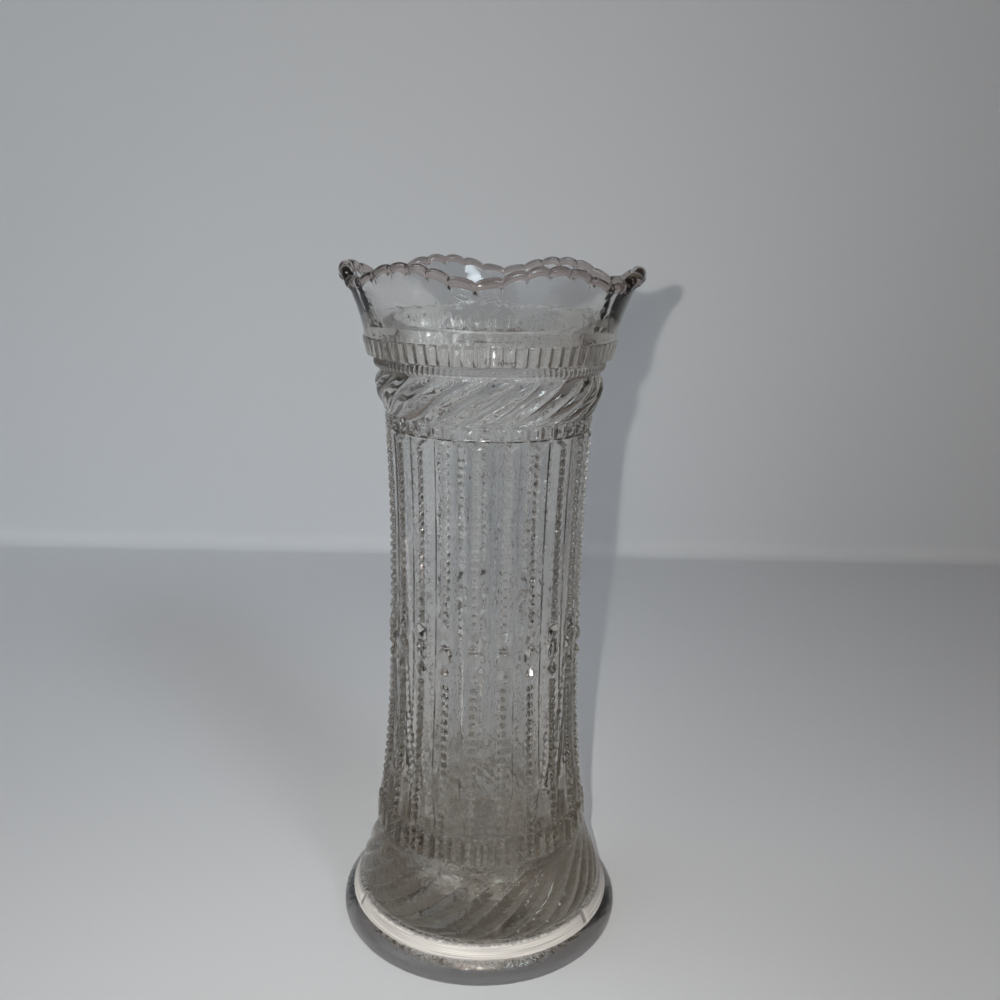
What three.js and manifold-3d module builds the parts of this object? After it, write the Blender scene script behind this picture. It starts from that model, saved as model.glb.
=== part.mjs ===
// Pressed glass vase, in millimetres, +Z up, with the origin in the middle of the face it stands on.
// The glass is one pressing. It is modelled as the ten moulded zones that lie on top of each other,
// and each zone stops at the level where the pattern of the mould changes.
import * as THREE from 'three';
import { mergeVertices } from 'three/addons/utils/BufferGeometryUtils.js';
import Module from 'manifold-3d';

const wasm = await Module();
wasm.setup();

// Heights of the zones, from the table upwards
const foot_height = 11;
const lower_rope_height = 17.4;
const lower_block_height = 10;
const lower_panel_height = 46.5;
const waist_height = 17;
const upper_panel_height = 53.4;
const upper_block_height = 4;
const upper_rope_height = 12;
const collar_height = 9.3;
const rim_height = 19.4;

// Foot
const foot_radius = 43.6;
const foot_widest_level = 2.6;
const foot_rest_outer = 42.4;
const foot_rest_inner = 34;
const foot_hollow_depth = 1.2;
const foot_hollow_slope = 3;
const shoulder_outer_radius = 40.3;
const shoulder_outer_level = 7;
const shoulder_inner_radius = 38.6;
const foot_flank_fullness = 0.8;

// Outer wall between the patterns
const lower_rope_root_bottom = 36.2;
const lower_rope_root_top = 31.6;
const panel_bottom_radius = 31.1;
const waist_radius = 27.7;
const waist_level = 105;
const panel_top_radius = 29.1;
const outline_power = 2.6;
const upper_block_root = 28.9;
const upper_rope_root_top = 30.4;

// Cavity left by the plunger
const floor_thickness = 9.5;
const floor_corner = 6;
const cavity_bottom_radius = 21;
const cavity_throat_radius = 26.5;
const throat_rise = 3.4;

// Bead columns
const mould_sections = 3;
const columns_per_section = 7;
const bead_pitch = 2.53;
const bead_width = 2.2;
const bead_proud = 1;
const notch_proud = 0.3;

// Plain panels: a ridge down the middle, a gable at the head and a pointed leaf at the foot
const ridge_width = 1.7;
const ridge_proud = 0.55;
const ridge_end_gap = 1.2;
const gable_height = 2.8;
const gable_proud = 0.8;
const leaf_point_height = 18;
const leaf_point_proud = 0.9;
const leaf_point_gap = 0.4;

// Waist jewels, one above the other on each column
const drop_height = 5.3;
const drop_width = 3.2;
const drop_proud = 1.1;
const jewel_height = 6.2;
const jewel_width = 4.4;
const jewel_proud = 1.6;
const jewel_shoulder = 1.8;
const diamond_width = 3.6;
const diamond_proud = 1.1;

// Bands of square blocks, with a pair of blocks astride each column
const blocks_per_column = 2;
const block_proud = 1.2;
const block_gap = 0.6;
const block_margin = 0.35;
const fillet_height = 1.5;
const fillet_proud = 0.8;

// Rope bands. A strand lies over most at its foot, and the rest of it climbs evenly.
const strand_count = 26;
const lower_strand_turn = 44;
const upper_strand_turn = 33;
const strand_proud = 2.1;
const strand_foot_share = 0.18;
const strand_foot_reach = 0.1;
const strand_crest_place = 0.62;

// Toothed collar
const tooth_count = 69;
const tooth_gap_share = 0.3;
const tooth_proud = 1;
const tooth_band_height = 5.6;
const tooth_root_bottom = 34.1;
const tooth_root_top = 34.9;
const thin_ring_radius = 33;
const thin_ring_height = 2.5;
const thin_ring_neck = 31.3;

// Flared rim: four lobes, with a corner between them at the front and the back and an ear drawn out at each
// side, under an edge of long low beads. The finished edge leans a little to the front.
const rim_bead_count = 36;
const rim_bead_radius = 1.9;
const rim_bead_half_length = 4;
const rim_wall = 2.8;
const rim_ledge = 0.9;
const lobe_radius = 36.8;
const corner_reach = 2.4;
const corner_dip = 4.2;
const corner_sharpness = 2.7;
const ear_reach = 3.1;
const ear_half_angle = 26;
const rim_lean = 1.3;
const outer_flare_power = 1.4;
const inner_flare_power = 0.95;

// Facets of the smooth walls, the rope strands and the rim beads
const facets_per_column = 2;
const cavity_facets_per_column = 1;
const panel_stations = 2;
const corner_steps = 3;
const flank_steps = 2;
const strand_levels = 4;
const rim_levels = 4;
const bead_sides = 6;
const bead_rows = 3;

const column_count = mould_sections * columns_per_section;
const wall_facets = column_count * facets_per_column;
const cavity_facets = column_count * cavity_facets_per_column;
const column_step = 360 / column_count;

// Levels at which one zone ends and the next begins
const foot_top = foot_height;
const lower_rope_top = foot_top + lower_rope_height;
const lower_block_top = lower_rope_top + lower_block_height;
const lower_panel_top = lower_block_top + lower_panel_height;
const waist_top = lower_panel_top + waist_height;
const upper_panel_top = waist_top + upper_panel_height;
const upper_block_top = upper_panel_top + upper_block_height;
const upper_rope_top = upper_block_top + upper_rope_height;
const collar_top = upper_rope_top + collar_height;
const throat_level = collar_top + throat_rise;

const front = -90;
const radians = THREE.MathUtils.degToRad;
const lerp = THREE.MathUtils.lerp;

// A point on the vase from its azimuth in degrees, its distance from the axis and its level
function polar(azimuth, radius, level) {
  const angle = radians(azimuth);
  return new THREE.Vector3(radius * Math.cos(angle), radius * Math.sin(angle), level);
}

// The same point after a sideways step in millimetres along the face of the wall
function beside(azimuth, sideways, radius, level) {
  const angle = radians(azimuth);
  const step = new THREE.Vector3(-Math.sin(angle), Math.cos(angle), 0).multiplyScalar(sideways);
  return polar(azimuth, radius, level).add(step);
}

// The waisted outline of the panelled body
function panelRadius(level) {
  const below = level < waist_level;
  const reach = below ? waist_level - lower_block_top : upper_panel_top - waist_level;
  const spread = (below ? panel_bottom_radius : panel_top_radius) - waist_radius;
  return waist_radius + spread * Math.pow(Math.abs(level - waist_level) / reach, outline_power);
}

// The inside of the vase up to the throat: a rounded floor and then a slow taper
function cavityRadius(level) {
  const rise = level - floor_thickness;
  if (rise < floor_corner) {
    return cavity_bottom_radius - floor_corner + Math.sqrt(rise * (2 * floor_corner - rise));
  }
  const taper_height = throat_level - floor_thickness - floor_corner;
  return lerp(cavity_bottom_radius, cavity_throat_radius, (rise - floor_corner) / taper_height);
}

function stationsBetween(bottom, top, count) {
  return Array.from({ length: count + 1 }, (_, i) => lerp(bottom, top, i / count));
}

// One copy of a form at each of a number of even steps round the axis
function around(count, start, makeOne) {
  return Array.from({ length: count }, (_, i) => makeOne(start + (i * 360) / count, i));
}

// The levels of the cavity wall between two levels, with enough of them to round the floor's corner
function cavityLevels(bottom, top) {
  const corner = stationsBetween(floor_thickness, floor_thickness + floor_corner, corner_steps);
  return [bottom, ...corner.filter((level) => level > bottom && level < top), top];
}

// A surface put together from points, kept by number, and the faces between them
class Surface {
  points = [];
  faces = [];

  put(point) {
    this.points.push(point);
    return this.points.length - 1;
  }

  face(a, b, c) {
    if (a !== b && b !== c && c !== a) this.faces.push(a, b, c);
  }

  // Points of an upright line, each with its level
  climb(line) {
    return line.map((point) => ({ point, at: this.points[point].z }));
  }

  // Points of a closed ring, each with its azimuth, from the point nearest the front and once round
  turn(ring) {
    const fromFront = (point) => {
      const { x, y } = this.points[point];
      return THREE.MathUtils.radToDeg(Math.atan2(x, -y));
    };
    const away = ring.map((point) => Math.abs(fromFront(point)));
    const first = away.indexOf(Math.min(...away));
    const turned = [...ring.slice(first), ...ring.slice(0, first)];
    const start = fromFront(turned[0]);
    const marks = turned.map((point) => ({ point, at: (fromFront(point) - start + 360) % 360 + start }));
    return [...marks, { point: turned[0], at: start + 360 }];
  }

  // The strip between two marked lines, which moves up both in step
  zip(right, left) {
    let i = 0;
    let j = 0;
    while (i < right.length - 1 || j < left.length - 1) {
      const on_right = j === left.length - 1 || (i < right.length - 1 && right[i + 1].at <= left[j + 1].at);
      if (on_right) {
        this.face(right[i].point, right[i + 1].point, left[j].point);
        i += 1;
      } else {
        this.face(right[i].point, left[j + 1].point, left[j].point);
        j += 1;
      }
    }
  }

  // The upright strip between two lines
  strip(right, left) {
    this.zip(this.climb(right), this.climb(left));
  }

  // The band between two closed rings. Rings follow each other up the outside and down the inside.
  band(first, second) {
    this.zip(this.turn(first), this.turn(second));
  }

  // The band between two rings with as many points each, face by face
  weave(lower, upper) {
    lower.forEach((point, i) => {
      const next = (i + 1) % lower.length;
      this.face(point, lower[next], upper[next]);
      this.face(point, upper[next], upper[i]);
    });
  }

  ring(count, radius, level) {
    return around(count, front, (azimuth) => this.put(polar(azimuth, radius, level)));
  }

  // Closes a zone: over its top, down the cavity wall and under its underside
  closeInside(bottom_ring, top_ring, bottom, top) {
    const levels = cavityLevels(bottom, top).reverse();
    const rings = levels.map((level) => this.ring(cavity_facets, cavityRadius(level), level));
    this.band(top_ring, rings[0]);
    for (let i = 1; i < rings.length; i++) {
      this.weave(rings[i - 1], rings[i]);
    }
    this.band(rings.at(-1), bottom_ring);
  }

  geometry() {
    const geometry = new THREE.BufferGeometry();
    const numbers = this.points.flatMap((point) => point.toArray());
    geometry.setAttribute('position', new THREE.Float32BufferAttribute(numbers, 3));
    geometry.setIndex(this.faces);
    return geometry;
  }
}

// Solids

function solidOf(geometry) {
  const bare = geometry.clone();
  bare.deleteAttribute('normal');
  bare.deleteAttribute('uv');
  const merged = mergeVertices(bare);
  const mesh = new wasm.Mesh({
    numProp: 3,
    vertProperties: new Float32Array(merged.attributes.position.array),
    triVerts: new Uint32Array(merged.index.array),
  });
  return new wasm.Manifold(mesh);
}

function geometryOf(solid) {
  const { vertProperties, triVerts } = solid.getMesh();
  const geometry = new THREE.BufferGeometry();
  geometry.setAttribute('position', new THREE.BufferAttribute(vertProperties, 3));
  geometry.setIndex(new THREE.BufferAttribute(triVerts, 1));
  return geometry;
}

// Studs: raised forms on a column, each with an outline of [level, half width] rows and one crest

function beads(bottom, top) {
  const count = Math.round((top - bottom) / bead_pitch);
  const notches = stationsBetween(bottom, top, count);
  return notches.slice(1).map((notch, i) => ({
    outline: [[notches[i], bead_width / 2], [notch, bead_width / 2]],
    crest: (notches[i] + notch) / 2,
    proud: bead_proud,
  }));
}

function lozenge(bottom, top, width, proud) {
  const middle = (bottom + top) / 2;
  return {
    outline: [[bottom, bead_width / 2], [middle, width / 2], [top, bead_width / 2]],
    crest: middle,
    proud,
  };
}

function jewel(bottom, top) {
  return {
    outline: [
      [bottom, bead_width / 2],
      [bottom + jewel_shoulder, jewel_width / 2],
      [top - jewel_shoulder, jewel_width / 2],
      [top, bead_width / 2],
    ],
    crest: (bottom + top) / 2,
    proud: jewel_proud,
  };
}

// Lays a stack of studs up one column and gives its two sides
function addColumn(surface, azimuth, studs) {
  const left = [];
  const right = [];
  const addRow = ([level, half]) => {
    const radius = panelRadius(level) + notch_proud;
    left.push(surface.put(beside(azimuth, -half, radius, level)));
    right.push(surface.put(beside(azimuth, half, radius, level)));
  };
  for (const stud of studs) {
    const start = Math.max(0, left.length - 1);
    stud.outline.slice(left.length ? 1 : 0).forEach(addRow);
    const crest = surface.put(polar(azimuth, panelRadius(stud.crest) + stud.proud, stud.crest));
    const edge = [...right.slice(start), ...left.slice(start).reverse()];
    edge.forEach((point, i) => surface.face(point, edge[(i + 1) % edge.length], crest));
  }
  return { left, right };
}

// Closes a column's head with a flat-faced spandrel, whose upper corners are the points of two gables
function addSpandrel(surface, column, azimuth, level, gables) {
  const middle = surface.put(polar(azimuth, panelRadius(level) + gable_proud, level));
  const left = column.left.at(-1);
  const right = column.right.at(-1);
  surface.face(left, right, middle);
  surface.face(right, gables.right, middle);
  surface.face(gables.left, left, middle);
  column.left.push(gables.left);
  column.right.push(gables.right);
  return middle;
}

// A ridge up the middle of a plain panel, from rows of [level, half width, how proud its crest is].
// A row with no width ends it in a point.
function addRidge(surface, azimuth, rows) {
  const left = [];
  const crest = [];
  const right = [];
  for (const [level, half, proud] of rows) {
    const radius = panelRadius(level);
    const middle = surface.put(polar(azimuth, radius + proud, level));
    crest.push(middle);
    left.push(half > 0 ? surface.put(beside(azimuth, -half, radius, level)) : middle);
    right.push(half > 0 ? surface.put(beside(azimuth, half, radius, level)) : middle);
  }
  surface.strip(crest, left);
  surface.strip(right, crest);
  return { left, crest, right };
}

function ridgeRows(bottom, top, count) {
  return stationsBetween(bottom, top, count).map((level) => [level, ridge_width / 2, ridge_proud]);
}

// A zone of the panelled body: columns of studs, with plain panels and their ridges between them
function panelledZone(bottom, top, studs, ridge_rows, gabled) {
  const surface = new Surface();
  const gables = around(column_count, front + column_step / 2, (azimuth) => (
    gabled ? surface.put(polar(azimuth, panelRadius(top), top)) : null
  ));
  const columns = around(column_count, front, (azimuth) => addColumn(surface, azimuth, studs));
  const middles = around(column_count, front, (azimuth, i) => {
    const sides = { left: gables.at(i - 1), right: gables[i] };
    return gabled ? addSpandrel(surface, columns[i], azimuth, top, sides) : null;
  });
  const ridges = around(column_count, front + column_step / 2, (azimuth) => (
    addRidge(surface, azimuth, ridge_rows)
  ));
  const bottom_ring = [];
  const top_ring = [];
  columns.forEach((column, i) => {
    const ridge = ridges[i];
    const next = columns[(i + 1) % column_count];
    surface.strip(ridge.left, column.right);
    surface.strip(next.left, ridge.right);
    bottom_ring.push(column.left[0], column.right[0], ridge.left[0], ridge.crest[0], ridge.right[0]);
    if (gabled) {
      top_ring.push(middles[i], gables[i]);
    } else {
      const ridge_top = [ridge.left, ridge.crest, ridge.right].map((line) => line.at(-1));
      top_ring.push(column.left.at(-1), column.right.at(-1), ...ridge_top);
    }
  });
  surface.closeInside(bottom_ring, top_ring, bottom, top);
  return surface.geometry();
}

// A band of square blocks that come to a point, between two levels of a wall that tapers
function blockBand(bottom, top, radiusAt, fillet) {
  const surface = new Surface();
  const count = column_count * blocks_per_column;
  const block_top = fillet ? top - fillet_height : top;
  const low = bottom + block_margin;
  const high = block_top - block_margin;
  const middle = (low + high) / 2;
  const half = (Math.PI * radiusAt(middle)) / count - block_gap / 2;
  const start = front + 180 / count;
  const corners = (level) => around(count, start, (azimuth) => [
    surface.put(beside(azimuth, -half, radiusAt(level), level)),
    surface.put(beside(azimuth, half, radiusAt(level), level)),
  ]);
  const lower = corners(low);
  const upper = corners(high);
  around(count, start, (azimuth, i) => {
    const crest = surface.put(polar(azimuth, radiusAt(middle) + block_proud, middle));
    const edge = [lower[i][0], lower[i][1], upper[i][1], upper[i][0]];
    edge.forEach((point, k) => surface.face(point, edge[(k + 1) % edge.length], crest));
    const next = (i + 1) % count;
    surface.face(lower[i][1], lower[next][0], upper[next][0]);
    surface.face(lower[i][1], upper[next][0], upper[i][1]);
  });
  const bottom_ring = surface.ring(count, radiusAt(bottom), bottom);
  surface.band(bottom_ring, lower.flat());
  const above = [surface.ring(count, radiusAt(block_top), block_top)];
  if (fillet) {
    const crest = (block_top + top) / 2;
    above.push(surface.ring(count, radiusAt(crest) + fillet_proud, crest));
    above.push(surface.ring(count, radiusAt(top), top));
  }
  surface.band(upper.flat(), above[0]);
  above.slice(1).forEach((ring, i) => surface.weave(above[i], ring));
  surface.closeInside(bottom_ring, above.at(-1), bottom, top);
  return surface.geometry();
}

// A rope band: slanting strands that swell in the middle and run out at both edges
function ropeBand(bottom, top, radiusAt, strand_turn) {
  const surface = new Surface();
  const pitch = 360 / strand_count;
  const rings = stationsBetween(0, 1, strand_levels).map((share) => {
    const level = lerp(bottom, top, share);
    const root = radiusAt(level);
    const swell = Math.sqrt(Math.sin(Math.PI * share));
    const laid_over = strand_foot_share * (1 - Math.exp(-share / strand_foot_reach));
    const turned = strand_turn * (share * (1 - strand_foot_share) + laid_over);
    return around(strand_count, front + turned, (azimuth) => [
      surface.put(polar(azimuth, root, level)),
      surface.put(polar(azimuth + pitch * strand_crest_place, root + swell * strand_proud, level)),
    ]).flat();
  });
  rings.slice(1).forEach((ring, i) => surface.weave(rings[i], ring));
  surface.closeInside(rings[0], rings.at(-1), bottom, top);
  return surface.geometry();
}

// Zones

function makeFoot() {
  const flank = new THREE.QuadraticBezierCurve(
    new THREE.Vector2(foot_radius, foot_widest_level),
    new THREE.Vector2(foot_radius, lerp(foot_widest_level, shoulder_outer_level, foot_flank_fullness)),
    new THREE.Vector2(shoulder_outer_radius, shoulder_outer_level),
  );
  const cavity = cavityLevels(floor_thickness, foot_top).map((level) => [cavityRadius(level), level]);
  const outline = [
    [0, foot_hollow_depth],
    [foot_rest_inner - foot_hollow_slope, foot_hollow_depth],
    [foot_rest_inner, 0],
    [foot_rest_outer, 0],
    ...flank.getPoints(flank_steps).map((point) => point.toArray()),
    [shoulder_inner_radius, foot_top],
    ...cavity.reverse(),
    [0, floor_thickness],
  ];
  const points = outline.map(([radius, level]) => new THREE.Vector2(radius, level));
  const lathe = new THREE.LatheGeometry(points, wall_facets);
  lathe.rotateX(Math.PI / 2);
  return lathe;
}

function lowerRopeRoot(level) {
  return lerp(lower_rope_root_bottom, lower_rope_root_top, (level - foot_top) / lower_rope_height);
}

function lowerBlockRoot(level) {
  return lerp(lower_rope_root_top, panel_bottom_radius, (level - lower_rope_top) / lower_block_height);
}

// The plain panels of the lower tier stand on pointed leaves that fill the space between the columns
function makeLowerPanels() {
  const panel_half = (Math.PI * panelRadius(lower_block_top)) / column_count;
  const leaf_half = panel_half - bead_width / 2 - leaf_point_gap;
  const rows = ridgeRows(lower_block_top + leaf_point_height, lower_panel_top, panel_stations);
  rows.unshift([lower_block_top, leaf_half, leaf_point_proud]);
  return panelledZone(lower_block_top, lower_panel_top, beads(lower_block_top, lower_panel_top), rows, false);
}

function makeWaist() {
  const drop_top = lower_panel_top + drop_height;
  const jewel_top = drop_top + jewel_height;
  const studs = [
    lozenge(lower_panel_top, drop_top, drop_width, drop_proud),
    jewel(drop_top, jewel_top),
    lozenge(jewel_top, waist_top, diamond_width, diamond_proud),
  ];
  return panelledZone(lower_panel_top, waist_top, studs, ridgeRows(lower_panel_top, waist_top, 1), false);
}

function makeUpperPanels() {
  const beads_top = upper_panel_top - gable_height;
  const rows = ridgeRows(waist_top, beads_top - ridge_end_gap, panel_stations);
  rows.push([beads_top, 0, 0]);
  return panelledZone(waist_top, upper_panel_top, beads(waist_top, beads_top), rows, true);
}

function upperRopeRoot(level) {
  return lerp(upper_block_root, upper_rope_root_top, (level - upper_block_top) / upper_rope_height);
}

function toothRoot(level) {
  return lerp(tooth_root_top, tooth_root_bottom, (collar_top - level) / tooth_band_height);
}

function makeToothedCollar() {
  const surface = new Surface();
  const teeth_bottom = collar_top - tooth_band_height;
  const ring_bottom = teeth_bottom - thin_ring_height;
  const pitch = 360 / tooth_count;
  const toothed = (level) => around(tooth_count, front, (azimuth) => [
    surface.put(polar(azimuth, toothRoot(level), level)),
    surface.put(polar(azimuth + pitch * tooth_gap_share, toothRoot(level) + tooth_proud, level)),
    surface.put(polar(azimuth + pitch * (1 - tooth_gap_share), toothRoot(level) + tooth_proud, level)),
  ]).flat();
  const rings = [
    surface.ring(wall_facets, thin_ring_neck, upper_rope_top),
    surface.ring(wall_facets, thin_ring_neck, ring_bottom),
    surface.ring(wall_facets, thin_ring_radius, ring_bottom + thin_ring_height / 2),
    surface.ring(wall_facets, (thin_ring_neck + thin_ring_radius) / 2, teeth_bottom),
  ];
  rings.slice(1).forEach((ring, i) => surface.weave(rings[i], ring));
  const tooth_foot = toothed(teeth_bottom);
  const tooth_head = toothed(collar_top);
  surface.band(rings.at(-1), tooth_foot);
  surface.weave(tooth_foot, tooth_head);
  surface.closeInside(rings[0], tooth_head, upper_rope_top, collar_top);
  return surface.geometry();
}

// The line of the rim round the vase. Each lobe and each ear is highest in its middle and dips at its ends.
// The wall reaches further out towards the ends of a lobe, and furthest in the middle of an ear.
function rimLine(azimuth) {
  const from_front = azimuth - front;
  const from_side = Math.abs((((from_front % 180) + 180) % 180) - 90);
  const on_ear = from_side < ear_half_angle;
  const lobe_half_angle = (90 - ear_half_angle) / 2;
  const lobe_middle = 90 - lobe_half_angle;
  const share = on_ear ? from_side / ear_half_angle : Math.abs(from_side - lobe_middle) / lobe_half_angle;
  const dip = Math.pow(share, corner_sharpness);
  const reach = on_ear ? corner_reach + ear_reach * (1 - share ** 2) : corner_reach * dip;
  const lean = rim_lean * Math.cos(radians(from_front));
  return { radius: lobe_radius + reach, level: collar_top + rim_height - corner_dip * dip - lean };
}

function makeFlaredRim() {
  const surface = new Surface();
  const outer_foot = tooth_root_top + rim_ledge;
  const outerRing = (share) => around(rim_bead_count, front, (azimuth) => {
    const line = rimLine(azimuth);
    const radius = lerp(outer_foot, line.radius, Math.pow(share, outer_flare_power));
    return surface.put(polar(azimuth, radius, lerp(collar_top, line.level, share)));
  });
  const innerRing = (share) => around(rim_bead_count, front, (azimuth) => {
    const line = rimLine(azimuth);
    const radius = lerp(cavity_throat_radius, line.radius - rim_wall, Math.pow(share, inner_flare_power));
    return surface.put(polar(azimuth, radius, lerp(throat_level, line.level, share)));
  });
  const shares = stationsBetween(0, 1, rim_levels);
  const rings = [
    ...shares.map(outerRing),
    ...shares.reverse().map(innerRing),
    surface.ring(rim_bead_count, cavityRadius(collar_top), collar_top),
  ];
  rings.forEach((ring, i) => surface.weave(ring, rings[(i + 1) % rings.length]));
  const bare = solidOf(surface.geometry());
  const first_bead = front + 180 / rim_bead_count;
  const rim_beads = around(rim_bead_count, first_bead, (azimuth) => {
    const line = rimLine(azimuth);
    const bead = new THREE.SphereGeometry(rim_bead_radius, bead_sides, bead_rows);
    bead.rotateX(Math.PI / 2);
    bead.scale(1, rim_bead_half_length / rim_bead_radius, 1);
    bead.rotateZ(radians(azimuth));
    const centre = polar(azimuth, line.radius - rim_wall / 2, line.level);
    bead.translate(centre.x, centre.y, centre.z);
    return solidOf(bead);
  });
  return geometryOf(rim_beads.reduce((rim, bead) => rim.add(bead), bare));
}

// Clear glass with a faint grey-mauve tint, the same in every zone
function clearGlass() {
  return new THREE.MeshStandardMaterial({ color: 0xd8d2d3, roughness: 0.06, metalness: 0 });
}

const zones = {
  foot: makeFoot,
  lower_rope_band: () => ropeBand(foot_top, lower_rope_top, lowerRopeRoot, lower_strand_turn),
  lower_block_band: () => blockBand(lower_rope_top, lower_block_top, lowerBlockRoot, true),
  lower_panels: makeLowerPanels,
  waist_jewel_band: makeWaist,
  upper_panels: makeUpperPanels,
  upper_block_band: () => blockBand(upper_panel_top, upper_block_top, () => upper_block_root, false),
  upper_rope_band: () => ropeBand(upper_block_top, upper_rope_top, upperRopeRoot, upper_strand_turn),
  toothed_collar: makeToothedCollar,
  flared_rim: makeFlaredRim,
};

const vase = new THREE.Group();
for (const [name, makeZone] of Object.entries(zones)) {
  const geometry = geometryOf(solidOf(makeZone()));
  const mesh = new THREE.Mesh(geometry, clearGlass());
  mesh.name = name;
  vase.add(mesh);
}

export default vase;
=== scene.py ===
import math

import bpy
import numpy as np
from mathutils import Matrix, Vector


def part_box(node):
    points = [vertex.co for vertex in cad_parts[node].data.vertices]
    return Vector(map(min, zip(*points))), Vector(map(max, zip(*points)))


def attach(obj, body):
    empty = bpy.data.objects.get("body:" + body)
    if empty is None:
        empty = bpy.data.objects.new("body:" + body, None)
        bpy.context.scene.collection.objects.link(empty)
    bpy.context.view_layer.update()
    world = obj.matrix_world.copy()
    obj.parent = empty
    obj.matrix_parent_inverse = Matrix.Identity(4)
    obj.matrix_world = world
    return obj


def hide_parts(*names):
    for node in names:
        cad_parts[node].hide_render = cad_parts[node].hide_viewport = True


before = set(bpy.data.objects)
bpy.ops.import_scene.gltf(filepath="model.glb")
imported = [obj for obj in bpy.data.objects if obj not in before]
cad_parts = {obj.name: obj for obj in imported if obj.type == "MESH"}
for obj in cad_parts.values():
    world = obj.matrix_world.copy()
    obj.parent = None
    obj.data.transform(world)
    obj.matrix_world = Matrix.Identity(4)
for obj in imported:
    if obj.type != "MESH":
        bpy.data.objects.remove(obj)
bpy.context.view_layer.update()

# Foot. A thick disc of pressed glass with a rounded flank, standing on a narrow ring round a shallow hollow.
# Its steep shoulder was left by the joint of the mould: it is matt, finely ringed by the tool, and has a
# notch where each of the three mould sections met the next.
foot_points = 252
foot_seams = (-60, 60, 180)
foot_underside = [(4, 1.2), (14, 1.2), (24, 1.2), (31, 1.15), (32.6, 0.6), (34, 0.06), (36, 0), (41.6, 0),
                  (42.6, 0.12)]
foot_flank = [(43.15, 0.4), (43.4, 0.9), (43.46, 1.7), (43.42, 2.6), (43.2, 3.5), (42.8, 4.4), (42.25, 5.2),
              (41.6, 5.95), (41.0, 6.5), (40.55, 6.8)]
shoulder_rows = 19
shoulder_foot_radius = 40.35
shoulder_middle_radius = 39.5
shoulder_head_radius = 38.55
shoulder_foot_level = 6.95
shoulder_height = 3.75
shoulder_ripple = 0.035
notch_depth = 1.0
notch_half_width = 0.8
vase_rows = []


def span(node):
    """The lowest and the highest level of a zone of the vase, in millimetres."""
    low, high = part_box(node)
    return low.z * 1000, high.z * 1000


def add_rows(azimuths, radii, levels):
    """Lays rows of points one after the other along the section of the glass, in millimetres and degrees.
    An azimuth of 0 is the front, and azimuths grow to the right."""
    azimuths, radii, levels = np.broadcast_arrays(azimuths, radii, levels)
    turn = np.radians(azimuths)
    vase_rows.append((azimuths, np.stack([radii * np.sin(turn), -radii * np.cos(turn), levels], axis=-1)))


def wrapped(azimuths):
    """Azimuths brought between -180 and 180 degrees."""
    return (azimuths + 180) % 360 - 180


near_seam = np.array([-2.6, -1.8, -1.3, -0.9, -0.6, -0.3, 0, 0.3, 0.6, 0.9, 1.3, 1.8, 2.6])
even = np.arange(foot_points) * 360 / foot_points
at_seams = [(seam + near_seam) % 360 for seam in foot_seams]
foot_azimuths = np.unique(np.round(np.concatenate([even] + at_seams), 3))
for radius, level in foot_underside + foot_flank:
    add_rows(foot_azimuths[None], radius, level)
shoulder_share = np.linspace(0, 1, shoulder_rows)[:, None]
shoulder_radius = shoulder_foot_radius + (shoulder_head_radius - shoulder_foot_radius) * shoulder_share
shoulder_radius = shoulder_radius + shoulder_ripple * np.where(np.arange(shoulder_rows)[:, None] % 2, 1, -1)
away = np.min([np.abs(wrapped(foot_azimuths - seam)) for seam in foot_seams], axis=0)
notch = notch_depth * np.exp(-(np.radians(away) * shoulder_middle_radius / notch_half_width) ** 2)
shoulder_start = len(vase_rows)
add_rows(foot_azimuths[None], shoulder_radius - notch, shoulder_foot_level + shoulder_height * shoulder_share)

# Lower rope band. Slanting strands pressed in the mould, which swell in the middle of the band and run out
# at both edges, over a wall that narrows from the foot to the body.
strand_count = 26
strand_stations = np.array([0, 0.05, 0.12, 0.2, 0.28, 0.36, 0.44, 0.51, 0.57, 0.605, 0.62, 0.635, 0.67, 0.74,
                            0.83, 0.93])
strand_ends = (0.012, 0.988)
strand_steady_part = 0.82
strand_quick_part = 0.18
strand_quick_height = 0.1
rope_edge_sink = 0.5
lower_strand_turn = 44
lower_rope_depth = 0.7
lower_strand_crest = 0.5
lower_strand_powers = (0.7, 0.7)
lower_rope_rows = 34
lower_rope_outline = [(11, 37.9), (12.5, 38.2), (16, 37.2), (18.5, 36.3), (22, 35), (24.4, 34.3),
                      (28.4, 32.9)]


def rope_rows(node, outline, depth, strand_turn, row_count, strand_crest, powers):
    """The rows of a rope band whose crests touch the given outline. A strand rises to its crest and falls
    from it by two powers, and turns faster near its foot than higher up."""
    bottom, top = span(node)
    share = np.linspace(*strand_ends, row_count)[:, None]
    level = bottom + (top - bottom) * share
    crest_radius = np.interp(level, *zip(*outline))
    place = np.tile(strand_stations, strand_count)[None]
    rising = np.sin(0.5 * np.pi * np.clip(place / strand_crest, 0, 1)) ** powers[0]
    falling = (1 - np.clip((place - strand_crest) / (1 - strand_crest), 0, 1)) ** powers[1]
    form = np.where(place <= strand_crest, rising, falling)
    swell = np.sqrt(np.sin(np.pi * share))
    number = np.repeat(np.arange(strand_count), len(strand_stations))[None]
    quick = 1 - np.exp(-share / strand_quick_height)
    turned = strand_turn * (strand_steady_part * share + strand_quick_part * quick)
    azimuth = (number + place) * 360 / strand_count + turned
    add_rows(azimuth, crest_radius - depth * swell * (1 - form) - rope_edge_sink * (1 - swell), level)


rope_rows("lower_rope_band", lower_rope_outline, lower_rope_depth, lower_strand_turn, lower_rope_rows,
          lower_strand_crest, lower_strand_powers)

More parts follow.
